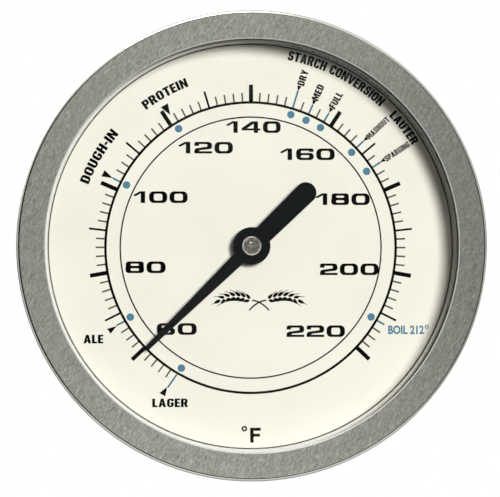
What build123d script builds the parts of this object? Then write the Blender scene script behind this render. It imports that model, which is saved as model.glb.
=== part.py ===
from build123d import *
import math
import os

os.makedirs("parts", exist_ok=True)

# Bimetal dial thermometer for a brewing kettle, back connection.
# Frame: the stem's axis is the Y axis and runs towards its tip along +Y.
# The dial faces -Y, 12 o'clock is +Z and 3 o'clock is +X.
# The origin is on the stem's axis, in the hex fitting's shoulder plane.

# ---------------------------------------------------------------- dimensions
# bezel, case and window (mm)
BEZEL_R = 41.5            # outside of the rolled bezel, 83 mm across
BEZEL_BORE_R = 36.5       # window edge of the bezel's flat face
BEZEL_T = 0.8             # sheet thickness
BEZEL_FRONT = -29.9       # the bezel's flat front face
BEZEL_RIM_ROUND = 0.5     # rounding between flat face and skirt
CASE_T = 0.8
CASE_R = 37.4             # outside of the drawn cup
CASE_BACK = -11.5         # outer face of the cup's bottom
CASE_CORNER = 3.2
CASE_FLANGE_R = 40.4
BEAD_R = 31.0             # stiffening bead pressed into the cup's bottom
STACK_R = 40.3            # dial, spacer, lens and gasket share this radius
DIAL_FRONT = -22.6
DIAL_T = 0.5
DIAL_HOLE_R = 2.2
SPACER_BORE_R = 36.3
SPACER_T = 0.6
LENS_BACK = -26.8
LENS_T = 1.8
GASKET_T = 0.5
GASKET_BORE_R = 37.0

# process fitting, 1/2-14 NPT male, 7/8 in hex
HEX_AF = 22.2
HEX_LEN = 9.5
THREAD_LEN = 15.0
THREAD_PITCH = 1.814
THREAD_END_R = 10.36      # major radius at the thread's small end
THREAD_DEPTH = 1.25
HUB_R = 6.0               # journal that the case turns on
HUB_SHOULDER = -16.2
HUB_FRONT_R = 5.0         # seat of the reset gear
HUB_FLAT = 4.3            # half the width across its two flats
HUB_END = -20.0
THREAD_RELIEF = 2.05      # plain relief between shoulder and first thread
BORE_R = 3.02

# stem
STEM_R = 3.175            # 1/4 in tube
STEM_NECK_R = 3.0         # the length swaged down to fit the fitting's bore
STEM_BORE_R = 2.675
STEM_TOP = -20.5
STEM_END = 63.5           # insertion length below the shoulder
TIP_WALL = 1.6

# movement
SHAFT_R = 0.7
SHAFT_CLEAR = 0.05
COIL_R = 2.0
COIL_THICK = 0.25
COIL_WIDE = 1.25
COIL_PITCH = 2.2
COIL_TURNS = 16
COIL_START = 23.3
POINTER_BACK = -24.5
POINTER_T = 0.4
POINTER_ANGLE = -134.4    # degrees clockwise from 12 o'clock: 59.5 F
POINTER_TIP = 26.2
POINTER_HUB_R = 3.36
POINTER_TAIL = 13.55
POINTER_TAIL_R = 1.91

# external reset: pinion on the case, gear fixed on the hub
MODULE = 0.5
GEAR_TEETH = 56
PINION_TEETH = 12
CENTRE = MODULE * (GEAR_TEETH + PINION_TEETH) / 2
PRESSURE = math.radians(20)
BACKLASH = 0.08
RESET_SHAFT_R = 1.5
RESET_AF = 6.35


def gear_outline(teeth, tip_r, root_r, first):
    """Closed outline of an involute spur gear, one tooth centred on angle first (degrees)."""
    pitch_r = MODULE * teeth / 2
    base_r = pitch_r * math.cos(PRESSURE)
    half = (math.pi * MODULE / 2 - BACKLASH) / 2 / pitch_r

    def inv(a):
        return math.tan(a) - a

    def half_at(r):
        a = math.acos(min(1.0, base_r / r)) if r > base_r else 0.0
        return half + inv(PRESSURE) - inv(a)

    low = max(base_r, root_r)
    radii = [low + (tip_r - low) * (i / 4) ** 1.4 for i in range(5)]
    if root_r < base_r - 1e-6:
        radii = [root_r] + radii
    pts = []
    for k in range(teeth):
        mid = math.radians(first) + 2 * math.pi * k / teeth
        side = [(r, half_at(r)) for r in radii]
        for r, h in side:
            pts.append((r * math.cos(mid - h), r * math.sin(mid - h)))
        for r, h in reversed(side):
            pts.append((r * math.cos(mid + h), r * math.sin(mid + h)))
    return pts


# ------------------------------------------------------------- hex_fitting
# One turned piece: tapered pipe thread, wrench hex, and the hub that carries
# the case.  Thread grooves are annular, on the real 1:16 taper.
thread_profile = [(BORE_R, 0.0), (9.6, 0.0), (9.6, THREAD_RELIEF)]
y = THREAD_RELIEF + 0.05
while y + THREAD_PITCH < THREAD_LEN - 0.2:
    crest = THREAD_END_R + (THREAD_LEN - y) / 32
    root = crest - THREAD_DEPTH
    thread_profile += [
        (root, y),
        (crest, y + 0.72),
        (crest, y + 0.92),
        (root, y + 1.64),
    ]
    y += THREAD_PITCH
thread_profile += [(THREAD_END_R - 1.3, THREAD_LEN), (BORE_R, THREAD_LEN)]

with BuildPart() as hex_fitting:
    with BuildSketch(Plane.XZ):
        RegularPolygon(HEX_AF / 2, 6, major_radius=False)
    extrude(amount=HEX_LEN)
    with BuildSketch(Plane.XY):
        with BuildLine():
            Polyline(
                (0, 0), (11.3, 0), (13.3, 1.1 - 2.2), (13.3, -HEX_LEN + 1.1),
                (11.3, -HEX_LEN), (0, -HEX_LEN), close=True,
            )
        make_face()
    revolve(axis=Axis.Y, mode=Mode.INTERSECT)
    with BuildSketch(Plane.XY):
        with BuildLine():
            Polyline(*thread_profile, close=True)
        make_face()
    revolve(axis=Axis.Y)
    with BuildSketch(Plane.XY):
        with BuildLine():
            Polyline(
                (BORE_R, -HEX_LEN), (HUB_R, -HEX_LEN), (HUB_R, -12.9),
                (4.9, -12.9), (4.9, -14.4), (HUB_R, -14.4),
                (HUB_R, HUB_SHOULDER + 0.25), (HUB_R - 0.25, HUB_SHOULDER),
                (HUB_FRONT_R, HUB_SHOULDER), (HUB_FRONT_R, -18.25),
                (4.15, -18.25), (4.15, -19.0), (HUB_FRONT_R, -19.0),
                (HUB_FRONT_R, HUB_END + 0.3), (HUB_FRONT_R - 0.3, HUB_END),
                (BORE_R, HUB_END), close=True,
            )
        make_face()
    revolve(axis=Axis.Y)
    # two flats that key the reset gear
    with BuildSketch(Plane.XZ.offset(-HUB_SHOULDER)):
        with Locations((0, HUB_FLAT + 1.5), (0, -HUB_FLAT - 1.5)):
            Rectangle(14, 3)
    extrude(amount=HUB_SHOULDER - HUB_END + 0.5, mode=Mode.SUBTRACT)
    with BuildSketch(Plane.XZ.offset(30)):
        Circle(BORE_R)
    extrude(amount=-60, mode=Mode.SUBTRACT)
hex_fitting.part.label = "hex_fitting"
export_step(hex_fitting.part, "parts/hex_fitting.step")

# --------------------------------------------------------------- stem_tube
# Thin tube; the length inside the fitting is swaged to a slightly smaller size.
with BuildPart() as stem_tube:
    with BuildSketch(Plane.XY):
        with BuildLine():
            Polyline(
                (STEM_BORE_R, STEM_TOP), (STEM_NECK_R, STEM_TOP),
                (STEM_NECK_R, THREAD_LEN), (STEM_R, THREAD_LEN + 0.1),
                (STEM_R, STEM_END - TIP_WALL), (STEM_BORE_R, STEM_END - TIP_WALL),
                close=True,
            )
        make_face()
    revolve(axis=Axis.Y)
stem_tube.part.label = "stem_tube"
export_step(stem_tube.part, "parts/stem_tube.step")

# ------------------------------------------------------------ stem_tip_plug
# Welded end cap.  Its stub holds the far end of the bimetal coil.
COIL_END = COIL_START + COIL_TURNS * COIL_PITCH
STUB_R = COIL_R - COIL_THICK / 2 - 0.03
with BuildPart() as stem_tip_plug:
    with BuildSketch(Plane.XY):
        with BuildLine():
            Polyline(
                (0, COIL_END - 1.6), (STUB_R - 0.3, COIL_END - 1.6),
                (STUB_R, COIL_END - 1.3), (STUB_R, COIL_END + 1.2),
                (STEM_BORE_R - 0.02, COIL_END + 1.2),
                (STEM_BORE_R - 0.02, STEM_END - TIP_WALL),
                (STEM_R, STEM_END - TIP_WALL), (STEM_R, STEM_END),
                (0, STEM_END), close=True,
            )
        make_face()
    revolve(axis=Axis.Y)
    fillet(stem_tip_plug.faces().sort_by(Axis.Y)[-1].edges(), 1.1)
stem_tip_plug.part.label = "stem_tip_plug"
export_step(stem_tip_plug.part, "parts/stem_tip_plug.step")

# ------------------------------------------------------------- guide bushes
with BuildPart() as guide_bush_front:
    with BuildSketch(Plane.XZ.offset(17.0)):
        Circle(STEM_BORE_R - 0.02)
        Circle(SHAFT_R + SHAFT_CLEAR, mode=Mode.SUBTRACT)
    extrude(amount=3.4)
    chamfer(guide_bush_front.edges().filter_by(GeomType.CIRCLE).sort_by(SortBy.RADIUS)[-2:], 0.25)
guide_bush_front.part.label = "guide_bush_front"
export_step(guide_bush_front.part, "parts/guide_bush_front.step")

with BuildPart() as guide_bush_rear:
    with BuildSketch(Plane.XZ.offset(-20.0)):
        Circle(STEM_BORE_R - 0.02)
        Circle(SHAFT_R + SHAFT_CLEAR, mode=Mode.SUBTRACT)
    extrude(amount=3.0)
    chamfer(guide_bush_rear.edges().filter_by(GeomType.CIRCLE).sort_by(SortBy.RADIUS)[-2:], 0.25)
guide_bush_rear.part.label = "guide_bush_rear"
export_step(guide_bush_rear.part, "parts/guide_bush_rear.step")

# ------------------------------------------------------------- bimetal_coil
# Helical strip of bimetal, wound on a 4 mm mean diameter.
with BuildPart() as bimetal_coil:
    with BuildLine() as coil_path:
        Helix(
            pitch=COIL_PITCH, height=COIL_PITCH * COIL_TURNS, radius=COIL_R,
            center=(0, COIL_START, 0), direction=(0, 1, 0),
        )
    with BuildSketch(Plane(origin=coil_path.line @ 0, z_dir=coil_path.line % 0, x_dir=(0, 1, 0))):
        Rectangle(COIL_WIDE, COIL_THICK)
    sweep(is_frenet=True)
bimetal_coil.part.label = "bimetal_coil"
export_step(bimetal_coil.part, "parts/bimetal_coil.step")

# ------------------------------------------------------------ pointer_shaft
with BuildPart() as pointer_shaft:
    with BuildSketch(Plane.XZ.offset(-26.0)):
        Circle(SHAFT_R)
    extrude(amount=26.0 + 25.62)
    fillet(pointer_shaft.faces().sort_by(Axis.Y)[0].edges(), 0.15)
    chamfer(pointer_shaft.faces().sort_by(Axis.Y)[-1].edges(), 0.2)
pointer_shaft.part.label = "pointer_shaft"
export_step(pointer_shaft.part, "parts/pointer_shaft.step")

# -------------------------------------------------------------- coil_collar
# Collar on the shaft's lower end; the near end of the coil is welded to it.
with BuildPart() as coil_collar:
    with BuildSketch(Plane.XZ.offset(-25.4)):
        Circle(STUB_R)
        Circle(SHAFT_R + 0.01, mode=Mode.SUBTRACT)
    extrude(amount=3.2)
    chamfer(coil_collar.edges().filter_by(GeomType.CIRCLE).sort_by(SortBy.RADIUS)[-2:], 0.25)
coil_collar.part.label = "coil_collar"
export_step(coil_collar.part, "parts/coil_collar.step")

# ------------------------------------------------------------------ pointer
# Stamped aluminium pointer with a broad round-ended counterweight tail.
_a = math.radians(POINTER_ANGLE)
pointer_plane = Plane(
    origin=(0, POINTER_BACK, 0),
    x_dir=(math.cos(_a), 0, -math.sin(_a)),
    z_dir=(0, -1, 0),
)
with BuildPart() as pointer:
    with BuildSketch(pointer_plane):
        Circle(POINTER_HUB_R)
        with BuildLine():
            Polyline((-1.29, 0), (-0.42, POINTER_TIP), (0.42, POINTER_TIP), (1.29, 0), close=True)
        make_face()
        with BuildLine():
            Polyline(
                (-1.64, 0), (-POINTER_TAIL_R + 0.03, -POINTER_TAIL),
                (POINTER_TAIL_R - 0.03, -POINTER_TAIL), (1.64, 0), close=True,
            )
        make_face()
        with Locations((0, -POINTER_TAIL)):
            Circle(POINTER_TAIL_R)
        Circle(1.12, mode=Mode.SUBTRACT)
    extrude(amount=POINTER_T)
    chamfer(pointer.faces().sort_by(Axis.Y)[0].outer_wire().edges(), 0.07)
pointer.part.label = "pointer"
export_step(pointer.part, "parts/pointer.step")

# -------------------------------------------------------------- pointer_hub
# Turned bush: bright chamfered head over the pointer, shank peened below it.
PT = POINTER_BACK - POINTER_T
with BuildPart() as pointer_hub:
    with BuildSketch(Plane.XY):
        with BuildLine():
            Polyline(
                (SHAFT_R + 0.01, -23.3), (1.45, -23.3), (1.45, POINTER_BACK + 0.45),
                (1.3, POINTER_BACK + 0.02), (1.1, POINTER_BACK + 0.02), (1.1, PT - 0.01),
                (1.70, PT - 0.01), (1.70, PT - 0.42), (1.50, PT - 0.62),
                (1.42, PT - 0.62), (1.36, PT - 0.55), (SHAFT_R + 0.01, PT - 0.55),
                close=True,
            )
        make_face()
    revolve(axis=Axis.Y)
pointer_hub.part.label = "pointer_hub"
export_step(pointer_hub.part, "parts/pointer_hub.step")

# --------------------------------------------------------------- seat_washer
with BuildPart() as seat_washer:
    with BuildSketch(Plane.XZ.offset(HEX_LEN + 0.02)):
        Circle(9.3)
        Circle(HUB_R + 0.1, mode=Mode.SUBTRACT)
    extrude(amount=0.56)
seat_washer.part.label = "seat_washer"
export_step(seat_washer.part, "parts/seat_washer.step")

# ----------------------------------------------------------------- case_bush
# Bearing swaged into the middle of the cup's bottom; it turns on the hub.
with BuildPart() as case_bush:
    with BuildSketch(Plane.XY):
        with BuildLine():
            Polyline(
                (HUB_R + 0.05, -10.12), (8.9, -10.12), (9.5, -10.72), (9.5, CASE_BACK),
                (7.0, CASE_BACK), (7.0, CASE_BACK - CASE_T), (7.8, CASE_BACK - CASE_T),
                (7.5, CASE_BACK - CASE_T - 0.6), (7.0, CASE_BACK - CASE_T - 0.8),
                (7.0, -15.5), (HUB_R + 0.05, -15.5), close=True,
            )
        make_face()
    revolve(axis=Axis.Y)
case_bush.part.label = "case_bush"
export_step(case_bush.part, "parts/case_bush.step")

# ---------------------------------------------------------------- hub_o_ring
with BuildPart() as hub_o_ring:
    with BuildSketch(Plane.XY):
        with Locations((5.475, -13.65)):
            Circle(0.555)
    revolve(axis=Axis.Y)
hub_o_ring.part.label = "hub_o_ring"
export_step(hub_o_ring.part, "parts/hub_o_ring.step")

# ------------------------------------------------------------- thrust_washer
with BuildPart() as thrust_washer:
    with BuildSketch(Plane.XZ.offset(15.6)):
        Circle(8.4)
        Circle(HUB_R + 0.1, mode=Mode.SUBTRACT)
    extrude(amount=0.5)
thrust_washer.part.label = "thrust_washer"
export_step(thrust_washer.part, "parts/thrust_washer.step")

# ---------------------------------------------------------------- reset_gear
with BuildPart() as reset_gear:
    with BuildSketch(Plane.XZ.offset(-HUB_SHOULDER + 0.02)):
        with BuildLine():
            Polyline(*gear_outline(GEAR_TEETH, 14.35, 13.35, -90), close=True)
        make_face()
        with BuildSketch(mode=Mode.PRIVATE) as keyed_bore:
            Circle(HUB_FRONT_R + 0.03)
            Rectangle(14, 2 * HUB_FLAT + 0.06, mode=Mode.INTERSECT)
        add(keyed_bore.sketch, mode=Mode.SUBTRACT)
        # lightening holes
        with PolarLocations(9.2, 6, start_angle=30):
            Circle(2.2, mode=Mode.SUBTRACT)
    extrude(amount=2.0)
reset_gear.part.label = "reset_gear"
export_step(reset_gear.part, "parts/reset_gear.step")

# -------------------------------------------------------- hub_retaining_ring
with BuildPart() as hub_retaining_ring:
    with BuildSketch(Plane.XZ.offset(18.32)):
        Circle(6.3)
        Circle(4.2, mode=Mode.SUBTRACT)
        with Locations((5.5, 0)):
            Rectangle(5, 5.2, mode=Mode.SUBTRACT)
    extrude(amount=0.6)
hub_retaining_ring.part.label = "hub_retaining_ring"
export_step(hub_retaining_ring.part, "parts/hub_retaining_ring.step")

# ----------------------------------------------------------------- case_back
# Drawn cup: bottom with a pressed bead, wall, and the flange that the bezel
# is rolled over.
CI = CASE_R - CASE_T
FLANGE_Y = DIAL_FRONT + DIAL_T           # face that the dial lies on
with BuildPart() as case_back:
    with BuildSketch(Plane.XY):
        with BuildLine():
            Polyline(
                (7.02, CASE_BACK), (BEAD_R - 3.0, CASE_BACK), (BEAD_R - 2.2, CASE_BACK + 0.7),
                (BEAD_R - 0.9, CASE_BACK + 0.7), (BEAD_R - 0.1, CASE_BACK),
                (CASE_R - CASE_CORNER, CASE_BACK),
            )
            RadiusArc(
                (CASE_R - CASE_CORNER, CASE_BACK), (CASE_R, CASE_BACK - CASE_CORNER),
                CASE_CORNER,
            )
            Polyline(
                (CASE_R, CASE_BACK - CASE_CORNER), (CASE_R, FLANGE_Y + CASE_T + 0.6),
                (CASE_R + 0.6, FLANGE_Y + CASE_T),
                (CASE_FLANGE_R, FLANGE_Y + CASE_T), (CASE_FLANGE_R, FLANGE_Y),
                (CI, FLANGE_Y), (CI, CASE_BACK - CASE_CORNER),
            )
            RadiusArc(
                (CI, CASE_BACK - CASE_CORNER), (CASE_R - CASE_CORNER, CASE_BACK - CASE_T),
                -(CASE_CORNER - CASE_T),
            )
            Polyline(
                (CASE_R - CASE_CORNER, CASE_BACK - CASE_T), (BEAD_R + 0.2, CASE_BACK - CASE_T),
                (BEAD_R - 0.6, CASE_BACK - 0.1), (BEAD_R - 2.5, CASE_BACK - 0.1),
                (BEAD_R - 3.3, CASE_BACK - CASE_T), (7.02, CASE_BACK - CASE_T),
                (7.02, CASE_BACK),
            )
        make_face()
    revolve(axis=Axis.Y)
    with BuildSketch(Plane.XZ.offset(5)):
        with Locations((0, -CENTRE)):
            Circle(3.22)
    extrude(amount=12, mode=Mode.SUBTRACT)
case_back.part.label = "case_back"
export_step(case_back.part, "parts/case_back.step")

# ---------------------------------------------------------------- dial_plate
with BuildPart() as dial_plate:
    with BuildSketch(Plane.XZ.offset(-DIAL_FRONT - DIAL_T)):
        Circle(STACK_R)
        Circle(DIAL_HOLE_R, mode=Mode.SUBTRACT)
    extrude(amount=DIAL_T)
dial_plate.part.label = "dial_plate"
export_step(dial_plate.part, "parts/dial_plate.step")

# --------------------------------------------------------------- spacer_ring
# Rolled channel ring, open outwards, that holds the window off the dial.
SB = DIAL_FRONT - 0.02
SF = LENS_BACK + 0.02
with BuildPart() as spacer_ring:
    with BuildSketch(Plane.XY):
        with BuildLine():
            Polyline(
                (SPACER_BORE_R + 0.3, SB), (STACK_R, SB), (STACK_R, SB - SPACER_T),
                (SPACER_BORE_R + SPACER_T, SB - SPACER_T),
                (SPACER_BORE_R + SPACER_T, SF + SPACER_T),
                (STACK_R, SF + SPACER_T), (STACK_R, SF), (SPACER_BORE_R + 0.3, SF),
                (SPACER_BORE_R, SF + 0.3), (SPACER_BORE_R, SB - 0.3), close=True,
            )
        make_face()
    revolve(axis=Axis.Y)
spacer_ring.part.label = "spacer_ring"
export_step(spacer_ring.part, "parts/spacer_ring.step")

# ---------------------------------------------------------------------- lens
with BuildPart() as lens:
    with BuildSketch(Plane.XZ.offset(-LENS_BACK)):
        Circle(STACK_R)
    extrude(amount=LENS_T)
    chamfer(lens.edges().filter_by(GeomType.CIRCLE), 0.2)
lens.part.label = "lens"
export_step(lens.part, "parts/lens.step")

# --------------------------------------------------------------- lens_gasket
LF = LENS_BACK - LENS_T
with BuildPart() as lens_gasket:
    with BuildSketch(Plane.XZ.offset(-LF + 0.01)):
        Circle(STACK_R)
        Circle(GASKET_BORE_R, mode=Mode.SUBTRACT)
    extrude(amount=GASKET_T - 0.02)
lens_gasket.part.label = "lens_gasket"
export_step(lens_gasket.part, "parts/lens_gasket.step")

# ---------------------------------------------------------------- bezel_ring
# Flat brushed face, small rounded rim, deep skirt, and a lip rolled in
# behind the case's flange.
BF = BEZEL_FRONT
LIP_Y = FLANGE_Y + CASE_T + 0.05         # the lip's face against the flange
with BuildPart() as bezel_ring:
    with BuildSketch(Plane.XY):
        with BuildLine():
            Polyline(
                (BEZEL_BORE_R, BF + BEZEL_T), (BEZEL_BORE_R, BF + 0.12),
                (BEZEL_BORE_R + 0.12, BF), (BEZEL_R - BEZEL_RIM_ROUND - 0.09, BF),
                (BEZEL_R - BEZEL_RIM_ROUND - 0.03, BF + 0.09),
                (BEZEL_R - BEZEL_RIM_ROUND + 0.03, BF + 0.02),
            )
            ThreePointArc(
                (BEZEL_R - BEZEL_RIM_ROUND + 0.03, BF + 0.02),
                (BEZEL_R - 0.15, BF + 0.16), (BEZEL_R, BF + BEZEL_RIM_ROUND),
            )
            Line((BEZEL_R, BF + BEZEL_RIM_ROUND), (BEZEL_R, LIP_Y - 0.2))
            ThreePointArc(
                (BEZEL_R, LIP_Y - 0.2), (BEZEL_R - 0.293, LIP_Y + 0.507), (BEZEL_R - 1.0, LIP_Y + BEZEL_T),
            )
            Polyline(
                (BEZEL_R - 1.0, LIP_Y + BEZEL_T), (38.6, LIP_Y + BEZEL_T + 0.12),
                (38.35, LIP_Y + 0.45), (38.6, LIP_Y),
                (BEZEL_R - BEZEL_T, LIP_Y), (BEZEL_R - BEZEL_T, BF + BEZEL_T),
                (BEZEL_BORE_R, BF + BEZEL_T),
            )
        make_face()
    revolve(axis=Axis.Y)
bezel_ring.part.label = "bezel_ring"
export_step(bezel_ring.part, "parts/bezel_ring.step")

# ---------------------------------------------------------------- reset_bush
reset_axis = Axis((0, 0, -CENTRE), (0, 1, 0))
with BuildPart() as reset_bush:
    with BuildSketch(Plane.XY.offset(-CENTRE)):
        with BuildLine():
            Polyline(
                (RESET_SHAFT_R + 0.05, -10.7), (4.1, -10.7), (4.4, -11.0), (4.4, CASE_BACK),
                (3.2, CASE_BACK), (3.2, CASE_BACK - CASE_T), (3.6, CASE_BACK - CASE_T),
                (3.3, -12.9), (3.2, -15.6), (RESET_SHAFT_R + 0.05, -15.6), close=True,
            )
        make_face()
    revolve(axis=reset_axis)
reset_bush.part.label = "reset_bush"
export_step(reset_bush.part, "parts/reset_bush.step")

# --------------------------------------------------------------- reset_screw
with BuildPart() as reset_screw:
    with BuildSketch(Plane(origin=(0, -8.1, -CENTRE), x_dir=(1, 0, 0), z_dir=(0, -1, 0))):
        RegularPolygon(RESET_AF / 2, 6, major_radius=False, rotation=30)
    extrude(amount=2.5)
    with BuildSketch(Plane.XY.offset(-CENTRE)):
        with BuildLine():
            Polyline(
                (0, -8.1), (3.0, -8.1), (3.7, -8.55), (3.7, -10.3), (3.2, -10.6), (0, -10.6),
                close=True,
            )
        make_face()
    revolve(axis=reset_axis, mode=Mode.INTERSECT)
    with BuildSketch(Plane.XY.offset(-CENTRE)):
        with BuildLine():
            Polyline(
                (0, -10.6), (RESET_SHAFT_R, -10.6), (RESET_SHAFT_R, -12.5), (0.95, -12.5),
                (0.95, -13.5), (RESET_SHAFT_R, -13.5), (RESET_SHAFT_R, -18.5), (1.1, -18.5),
                (1.1, -19.05), (RESET_SHAFT_R, -19.05), (RESET_SHAFT_R, -19.3),
                (RESET_SHAFT_R - 0.25, -19.6), (0, -19.6), close=True,
            )
        make_face()
    revolve(axis=reset_axis)
    with BuildSketch(Plane(origin=(0, -8.0, -CENTRE), x_dir=(1, 0, 0), z_dir=(0, -1, 0))):
        Rectangle(9, 0.9)
    extrude(amount=1.2, mode=Mode.SUBTRACT)
reset_screw.part.label = "reset_screw"
export_step(reset_screw.part, "parts/reset_screw.step")

# -------------------------------------------------------------- reset_pinion
with BuildPart() as reset_pinion:
    with BuildSketch(Plane(origin=(0, -16.1, -CENTRE), x_dir=(1, 0, 0), z_dir=(0, -1, 0))):
        with BuildLine():
            Polyline(
                *gear_outline(PINION_TEETH, 3.45, 2.45, 90 + 180 / PINION_TEETH), close=True
            )
        make_face()
        Circle(RESET_SHAFT_R + 0.01, mode=Mode.SUBTRACT)
    extrude(amount=2.3)
reset_pinion.part.label = "reset_pinion"
export_step(reset_pinion.part, "parts/reset_pinion.step")

# --------------------------------------------------------- reset_screw_o_ring
with BuildPart() as reset_o_ring:
    with BuildSketch(Plane.XY.offset(-CENTRE)):
        with Locations((1.25, -13.0)):
            Circle(0.285)
    revolve(axis=reset_axis)
reset_o_ring.part.label = "reset_o_ring"
export_step(reset_o_ring.part, "parts/reset_o_ring.step")

# ---------------------------------------------------------------- reset_clip
with BuildPart() as reset_clip:
    with BuildSketch(Plane(origin=(0, -18.53, -CENTRE), x_dir=(1, 0, 0), z_dir=(0, -1, 0))):
        Circle(2.5)
        Circle(1.13, mode=Mode.SUBTRACT)
        with Locations((0, -2.0)):
            Rectangle(1.7, 2.6, mode=Mode.SUBTRACT)
    extrude(amount=0.48)
reset_clip.part.label = "reset_clip"
export_step(reset_clip.part, "parts/reset_clip.step")
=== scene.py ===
import math

import bpy
import numpy as np
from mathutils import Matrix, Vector


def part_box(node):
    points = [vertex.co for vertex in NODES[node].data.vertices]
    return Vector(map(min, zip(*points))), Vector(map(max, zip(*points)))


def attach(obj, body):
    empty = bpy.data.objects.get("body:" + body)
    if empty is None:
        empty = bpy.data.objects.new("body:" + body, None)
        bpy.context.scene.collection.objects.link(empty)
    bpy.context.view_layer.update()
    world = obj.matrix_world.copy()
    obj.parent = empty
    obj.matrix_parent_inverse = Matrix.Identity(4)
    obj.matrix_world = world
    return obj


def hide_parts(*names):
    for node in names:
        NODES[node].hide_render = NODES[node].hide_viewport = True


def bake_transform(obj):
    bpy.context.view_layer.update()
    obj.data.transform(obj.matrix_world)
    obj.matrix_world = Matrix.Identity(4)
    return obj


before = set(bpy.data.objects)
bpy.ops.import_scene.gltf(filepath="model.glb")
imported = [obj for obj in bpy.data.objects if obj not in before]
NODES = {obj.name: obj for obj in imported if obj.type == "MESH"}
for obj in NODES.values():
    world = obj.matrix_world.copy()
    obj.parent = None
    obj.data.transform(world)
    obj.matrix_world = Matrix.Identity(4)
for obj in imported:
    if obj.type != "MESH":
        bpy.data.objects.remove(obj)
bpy.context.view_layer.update()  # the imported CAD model: bodies stem, pointer, case, reset_screw

MM = 0.001
COLL = bpy.context.scene.collection

# ------------------------------------------------------------------ figures
DIAL_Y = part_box("dial_plate")[0].y / MM      # the dial's printed face
BEZEL_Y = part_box("bezel_ring")[0].y / MM     # the bezel's flat front face
U = 0.1795                                   # mm on the dial per drawing unit
PRINT_X, PRINT_Z = -0.02, -0.25               # the print sits a little off the stem's axis
INK_T = 0.03                                 # height of the printed ink, mm


# ================================================================== meshes
def add_mesh(name, verts, faces, material, body, smooth=False):
    me = bpy.data.meshes.new(name)
    me.from_pydata([tuple(v) for v in verts], [], [tuple(f) for f in faces])
    me.validate()
    me.update()
    if smooth:
        me.polygons.foreach_set("use_smooth", [True] * len(me.polygons))
    ob = bpy.data.objects.new(name, me)
    COLL.objects.link(ob)
    me.materials.append(material)
    if body:
        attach(ob, body)
    return ob


def mark_sharp(ob, angle=32.0):
    """Smooth shading with hard edges kept."""
    me = ob.data
    me.polygons.foreach_set("use_smooth", [True] * len(me.polygons))
    me.set_sharp_from_angle(angle=math.radians(angle))


class Ink:
    """Collects flat prisms lying on the dial, in drawing units (x right, y up)."""

    def __init__(self):
        self.v, self.f = [], []

    def add(self, verts, faces):
        n = len(self.v)
        self.v.extend(verts)
        self.f.extend([tuple(i + n for i in face) for face in faces])

    def poly(self, pts):
        """Prism over a convex polygon, points counter-clockwise."""
        n = len(pts)
        area = sum(pts[i][0] * pts[(i + 1) % n][1] - pts[(i + 1) % n][0] * pts[i][1] for i in range(n))
        if area < 0:
            pts = list(reversed(pts))
        low = [(x, y, 0.0) for x, y in pts]
        top = [(x, y, 1.0) for x, y in pts]
        faces = [tuple(range(n, 2 * n)), tuple(reversed(range(n)))]
        faces += [(i, (i + 1) % n, n + (i + 1) % n, n + i) for i in range(n)]
        self.add(low + top, faces)

    def ring(self, r0, r1, seg=480):
        v, f = [], []
        for z in (0.0, 1.0):
            for r in (r0, r1):
                for i in range(seg):
                    a = 2 * math.pi * i / seg
                    v.append((r * math.cos(a), r * math.sin(a), z))
        for i in range(seg):
            j = (i + 1) % seg
            a, b, c, d = i, seg + i, 2 * seg + i, 3 * seg + i
            a2, b2, c2, d2 = j, seg + j, 2 * seg + j, 3 * seg + j
            f += [(c, d, d2, c2), (a, a2, b2, b), (b, b2, d2, d), (a, c, c2, a2)]
        self.add(v, f)

    def disc(self, x, y, r, seg=48):
        self.poly([(x + r * math.cos(2 * math.pi * i / seg), y + r * math.sin(2 * math.pi * i / seg)) for i in range(seg)])

    def bar(self, r0, r1, angle, width, width_out=None):
        """Radial bar at an angle clockwise from 12 o'clock."""
        w0, w1 = width / 2, (width if width_out is None else width_out) / 2
        a = math.radians(angle)
        ex, ey = math.sin(a), math.cos(a)
        tx, ty = ey, -ex
        self.poly([
            (r0 * ex - w0 * tx, r0 * ey - w0 * ty), (r0 * ex + w0 * tx, r0 * ey + w0 * ty),
            (r1 * ex + w1 * tx, r1 * ey + w1 * ty), (r1 * ex - w1 * tx, r1 * ey - w1 * ty),
        ])

    def line(self, p, q, w0, w1):
        dx, dy = q[0] - p[0], q[1] - p[1]
        n = math.hypot(dx, dy)
        tx, ty = -dy / n, dx / n
        self.poly([
            (p[0] + tx * w0 / 2, p[1] + ty * w0 / 2), (p[0] - tx * w0 / 2, p[1] - ty * w0 / 2),
            (q[0] - tx * w1 / 2, q[1] - ty * w1 / 2), (q[0] + tx * w1 / 2, q[1] + ty * w1 / 2),
        ])

    def build(self, name, material, lift=0.0):
        v = [
            (
                (PRINT_X + x * U) * MM,
                (DIAL_Y + 0.01 - z * (INK_T + lift + 0.01)) * MM,
                (PRINT_Z + y * U) * MM,
            )
            for x, y, z in self.v
        ]
        return add_mesh(name, v, self.f, material, "case")


def filled(loops):
    """Prism mesh (z 0..1) over outlines with holes, by the even-odd rule."""
    cu = bpy.data.curves.new("outline", "CURVE")
    cu.dimensions = "2D"
    cu.fill_mode = "BOTH"
    cu.extrude = 0.5
    for pts in loops:
        sp = cu.splines.new("POLY")
        sp.points.add(len(pts) - 1)
        for i, (x, y) in enumerate(pts):
            sp.points[i].co = (x, y, 0, 1)
        sp.use_cyclic_u = True
    ob = bpy.data.objects.new("outline", cu)
    COLL.objects.link(ob)
    out = mesh_of(ob)
    bpy.data.objects.remove(ob)
    bpy.data.curves.remove(cu)
    return out


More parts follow.
